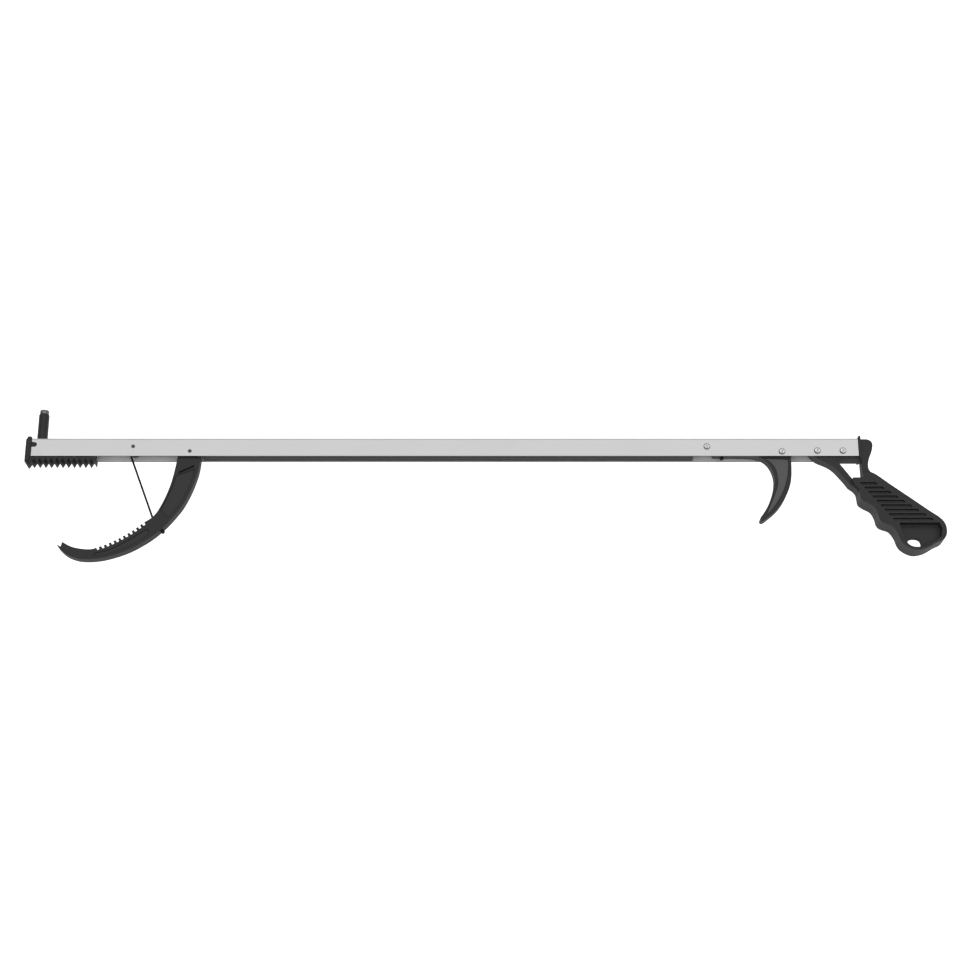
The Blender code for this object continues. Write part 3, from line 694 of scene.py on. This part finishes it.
class GRABBER_OT_guide_bush(bpy.types.Operator):
    """Turns the nylon spool on the front guide pin, with a round groove for the cord"""

    bl_idname = "grabber.guide_bush"
    bl_label = "Guide Bush"

    def execute(self, context):
        low, high = (Vector(corner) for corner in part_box("front_guide_bush"))
        rim, groove, bore = (high.x - low.x) / 2, BUSH_GROOVE_RADIUS * MM, BUSH_BORE_RADIUS * MM
        half = (high.z - low.z) / 2
        inner = BUSH_GROOVE_HALF * MM
        profile = [(bore, -half), (rim - 0.3 * MM, -half), (rim, -half + 0.3 * MM), (rim, -inner)]
        profile += [(rim - (rim - groove) * math.cos(math.radians(a)), inner * math.sin(math.radians(a)))
                    for a in range(-75, 76, 15)]
        profile += [(rim, inner), (rim, half - 0.3 * MM), (rim - 0.3 * MM, half), (bore, half), (bore, -half)]
        spool = lathe("guide_spool", profile, centre_of("front_guide_bush"), (0, 0, 1), 48)
        shade(spool)
        bush_nylon = moulded_nylon(linear("2A2A2B"))
        dress(spool, bush_nylon, "frame", "black_moulding", "front_guide_bush")
        return {"FINISHED"}


class GRABBER_OT_magnet(bpy.types.Operator):
    """Turns the button magnet in the end of the post"""

    bl_idname = "grabber.magnet"
    bl_label = "Magnet"

    def execute(self, context):
        low, high = (Vector(corner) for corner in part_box("lug_magnet"))
        radius = (high.x - low.x) / 2
        length = high.y - low.y
        rim = 0.7 * MM
        collar = radius + 0.35 * MM
        profile = [(0, 0), (radius - 0.2 * MM, 0), (radius, 0.2 * MM), (radius, 2.9 * MM), (collar, 2.9 * MM)]
        profile += [(collar - rim * (1 - math.cos(a)), length - rim * (1 - math.sin(a)))
                    for a in QUARTER]
        profile += [(radius * 0.3, length), (0, length)]
        centre = Vector(((low.x + high.x) / 2, low.y, (low.z + high.z) / 2))
        magnet = lathe("post_magnet", profile, centre, (0, 1, 0), 48)
        shade(magnet)
        nickel = plated_steel("nickel plated magnet", linear("8E8F91"), 0.32, 0.6 * MM)
        dress(magnet, nickel, "frame", "magnet", "lug_magnet")
        return {"FINISHED"}


class GRABBER_OT_pins(bpy.types.Operator):
    """Turns the two front pins, with peened ends"""

    bl_idname = "grabber.pins"
    bl_label = "Pins"

    def execute(self, context):
        # The pins' dark grey is painted shade: it stands for the shade in a small hollow at each pin's end.
        steel = plated_steel("peened steel pin in painted shade", linear("66676A"), 0.4, 0.5 * MM)
        for node in PINS:
            low, high = (Vector(corner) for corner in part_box(node))
            shank = (high.x - low.x) / 2
            length = high.z - low.z
            dome = [(PIN_HEAD_RADIUS * MM * math.sin(a), PIN_HEAD_HEIGHT * MM * (1 - math.cos(a)))
                    for a in QUARTER]
            dome += [(shank, PIN_HEAD_HEIGHT * MM)]
            profile = dome + [(radius, length - height) for radius, height in reversed(dome)]
            centre = Vector(((low.x + high.x) / 2, (low.y + high.y) / 2, low.z))
            pin = lathe(node + "_peened", profile, centre, (0, 0, 1), 32)
            shade(pin)
            dress(pin, steel, "frame", "steel", node)
        return {"FINISHED"}


class GRABBER_OT_rivets(bpy.types.Operator):
    """Turns the four semi-tubular rivets: a domed head and a rolled ring with a dished middle"""

    bl_idname = "grabber.rivets"
    bl_label = "Rivets"

    def execute(self, context):
        steel = plated_steel("zinc plated rivet", context.scene.grabber_colours.steel, 0.18, 0.8 * MM)
        # The rolled end's sides and under faces get a dark grey: painted shade round each rivet's edge.
        rolled = plated_steel("rivet edge painted shade", linear("3C3D3F"), 0.4, 0.4 * MM)
        for node in RIVETS:
            low, high = (Vector(corner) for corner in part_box(node))
            head = (high.x - low.x) / 2
            seat = CHANNEL_LOW.z - RIVET_SEAT * MM - low.z
            roll = CHANNEL_HIGH.z + RIVET_SEAT * MM - low.z
            top = high.z - low.z
            shank = RIVET_SHANK_RADIUS * MM
            dome = [(head * math.sin(a), 0.55 * MM * (1 - math.cos(a))) for a in QUARTER]
            profile = dome + [(head, seat), (shank, seat), (shank, roll), (head, roll)]
            shoulder = 0.55 * MM
            rise = top - roll - 0.05 * MM
            profile += [(head - shoulder * (1 - math.cos(a)), roll + 0.05 * MM + rise * math.sin(a))
                        for a in QUARTER]
            profile += [(1.2 * MM, top - 0.25 * MM), (0.55 * MM, top - 0.3 * MM), (0.4 * MM, top - 0.7 * MM)]
            profile += [(0, top - 0.8 * MM)]
            centre = Vector(((low.x + high.x) / 2, (low.y + high.y) / 2, low.z))
            rivet = lathe(node + "_set", profile, centre, (0, 0, 1), 40)
            shade(rivet, 40)
            dress(rivet, steel, "frame", "steel", node)
            second_finish(rivet, rolled, lambda middle, normal: middle.z > CHANNEL_HIGH.z and normal.z < 0.9)
        return {"FINISHED"}


class GRABBER_OT_return_spring(bpy.types.Operator):
    """Winds the jaw's return spring and bends its two legs"""

    bl_idname = "grabber.return_spring"
    bl_label = "Return Spring"

    def execute(self, context):
        wire = context.scene.grabber_sizes.wire
        mean, steps = SPRING_MEAN_RADIUS * MM, 32
        low = CHANNEL_LOW.z + 1.5 * MM + wire / 2
        pitch = 1.2 * wire
        total = int(SPRING_TURNS * steps)
        coil = []
        for i in range(total + 1):
            point = arc(JAW_PIVOT, mean, 90, 90 + 360 * i / steps, 1, low + pitch * i / steps)[-1]
            coil.append(point)
        high = coil[-1].z / MM
        hook = [at(x, y, low / MM) for x, y in SPRING_BACK_LEG]
        back_leg = resample([*hook, coil[0]], 1.0 * MM)[:-1]
        foot = at(*SPRING_FOOT, high)
        jaw_leg = resample([coil[-1], foot], 1.0 * MM)[1:]
        tip = [at(SPRING_FOOT[0], SPRING_FOOT[1] - 0.2, high + rise) for rise in (0.3, 1.0, 4.4)]
        spring = tube("jaw_spring_wire", [back_leg + coil + jaw_leg + tip], wire / 2, 12)
        dress(spring, drawn_wire(), None, "spring_steel", "jaw_return_spring")
        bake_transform(spring)
        return {"FINISHED"}


class GRABBER_OT_pull_cord(bpy.types.Operator):
    """Lays the cord's three stretches and ties the knot at each end"""

    bl_idname = "grabber.pull_cord"
    bl_label = "Pull Cord"

    def execute(self, context):
        sizes = context.scene.grabber_sizes
        nylon = twisted_nylon(context.scene.grabber_colours.cord)
        front, rear = FRONT_CORD_BEND * MM, REAR_CORD_BEND * MM
        inside = arc(GUIDE_RIVET, rear, 66, 90, 4) + arc(GUIDE_PIN, front, 90, 172, 10)
        cord = lay_cord("cord_in_channel", inside, sizes)
        dress(cord, nylon, "frame", "cord", "pull_cord_channel")

        mouth = at(*JAW_HOLE)
        start = arc(GUIDE_PIN, front, DROP_START_DEG, DROP_END_DEG, 3)
        drop = lay_cord("cord_to_jaw", [*start, mouth], sizes)
        dress(drop, nylon, "cord_drop", "cord", "pull_cord_front")
        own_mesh(drop)

        rise = [at(ARM_HOLE_X, 22.2), at(ARM_HOLE_X, 23.7), at(ARM_HOLE_X - 0.9, 24.3)]
        rise += arc(GUIDE_RIVET, rear, 38, 58, 3)
        arm_cord = lay_cord("cord_to_trigger", rise, sizes)
        dress(arm_cord, nylon, None, "cord", "pull_cord_rear")
        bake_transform(arm_cord)

        hole_end = at(*JAW_HOLE_END)
        beyond = (hole_end - mouth).normalized() * 1.2 * MM
        knots = {
            "jaw_knot": ("jaw_cord_knot", "jaw", mouth, hole_end + beyond),
            "trigger_knot": ("trigger_cord_knot", "trigger_lever",
                             at(ARM_HOLE_X, ARM_HOLE_TOP), at(ARM_HOLE_X, ARM_KNOT_Y)),
        }
        for name, (node, body, start, end) in knots.items():
            knot = lay_cord(name, knot_route(start, end), sizes)
            dress(knot, nylon, body, "cord", node)
        return {"FINISHED"}


def knot_route(start, end):
    """From a hole's mouth, through it, round an overhand knot and out in a short tail."""
    down = (end - start).normalized()
    side = Vector((0, 0, 1))
    across = side.cross(down)
    loops = []
    for i in range(37):
        t = math.tau * (0.08 + 0.84 * i / 36)
        x = math.sin(t) + 2 * math.sin(2 * t)
        y = math.cos(t) - 2 * math.cos(2 * t)
        z = -math.sin(3 * t)
        loops.append(end + (across * x + side * y) * 0.33 * MM + down * z * 0.45 * MM)
    tail = [loops[-1] + (down * 0.3 + across * 0.5) * MM, loops[-1] + (down * 0.7 + across * 1.0) * MM]
    return [start, end - down * 0.9 * MM, *loops, *tail]


class GRABBER_OT_stage(bpy.types.Operator):
    """Sets out the light table, the soft lights and the camera"""

    bl_idname = "grabber.stage"
    bl_label = "Stage"

    def execute(self, context):
        scene = context.scene
        bpy.ops.object.select_all(action="DESELECT")
        bpy.ops.mesh.primitive_plane_add(size=8, location=(0, 0, CAD_BOX[0][2] - 0.1 * MM))
        table = settle(context.object, "light_table")
        table.data.materials.append(opal_acrylic())

        world = bpy.data.worlds.new("studio")
        world.use_nodes = True
        background = world.node_tree.nodes["Background"]
        background.inputs["Color"].default_value = (1, 1, 1, 1)
        background.inputs["Strength"].default_value = 0.28
        scene.world = world
        scene.view_settings.view_transform = "Standard"

        # Each softbox has its place, its two sizes and its brightness as seen from the object.
        lights = {
            "key_softbox": ((0.0, -0.75, 1.9), 3.2, 1.5, 0.9),
            "rear_softbox": ((0.0, 0.75, 1.6), 3.2, 0.9, 0.54),
            "right_softbox": ((1.5, 0.2, 1.1), 0.8, 1.6, 0.35),
        }
        for name, (place, width, depth, brightness) in lights.items():
            light = bpy.data.lights.new(name, "AREA")
            light.shape = "RECTANGLE"
            light.size = width
            light.size_y = depth
            light.energy = brightness * math.pi * width * depth
            lamp = bpy.data.objects.new(name, light)
            lamp.location = place
            lamp.rotation_euler = (-Vector(place)).to_track_quat("-Z", "Y").to_euler()
            scene.collection.objects.link(lamp)

        camera = bpy.data.cameras.new("camera")
        camera.sensor_width = 36.0
        camera.lens = 71.37
        eye = bpy.data.objects.new("camera", camera)
        tilt = math.radians(20)
        target = at(3.4, -2.4, 8)
        eye.location = target + Vector((0, -math.sin(tilt), math.cos(tilt))) * 1.390
        eye.rotation_euler = (tilt, 0, 0)
        scene.collection.objects.link(eye)
        scene.camera = eye
        return {"FINISHED"}


class GRABBER_PT_panel(bpy.types.Panel):
    """Lists the sizes, the colours and the pieces to build"""

    bl_idname = "GRABBER_PT_panel"
    bl_label = "Reacher Grabber"
    bl_space_type = "VIEW_3D"
    bl_region_type = "UI"
    bl_category = "Grabber"

    def draw(self, context):
        for group in (context.scene.grabber_sizes, context.scene.grabber_colours):
            column = self.layout.column()
            for name in group.__annotations__:
                column.prop(group, name)
        for operator in OPERATORS:
            self.layout.operator(operator.bl_idname)


OPERATORS = (
    GRABBER_OT_stage,
    GRABBER_OT_channel,
    GRABBER_OT_mouldings,
    GRABBER_OT_cover_strip,
    GRABBER_OT_guide_bush,
    GRABBER_OT_magnet,
    GRABBER_OT_pins,
    GRABBER_OT_rivets,
    GRABBER_OT_return_spring,
    GRABBER_OT_pull_cord,
)
CLASSES = (GrabberSizes, GrabberColours, *OPERATORS, GRABBER_PT_panel)


def register():
    for cls in CLASSES:
        bpy.utils.register_class(cls)
    bpy.types.Scene.grabber_sizes = bpy.props.PointerProperty(type=GrabberSizes)
    bpy.types.Scene.grabber_colours = bpy.props.PointerProperty(type=GrabberColours)


def unregister():
    del bpy.types.Scene.grabber_colours
    del bpy.types.Scene.grabber_sizes
    for cls in reversed(CLASSES):
        bpy.utils.unregister_class(cls)


def main():
    register()
    for operator in OPERATORS:
        group, name = operator.bl_idname.split(".")
        getattr(getattr(bpy.ops, group), name)()


if __name__ == "__main__":
    main()
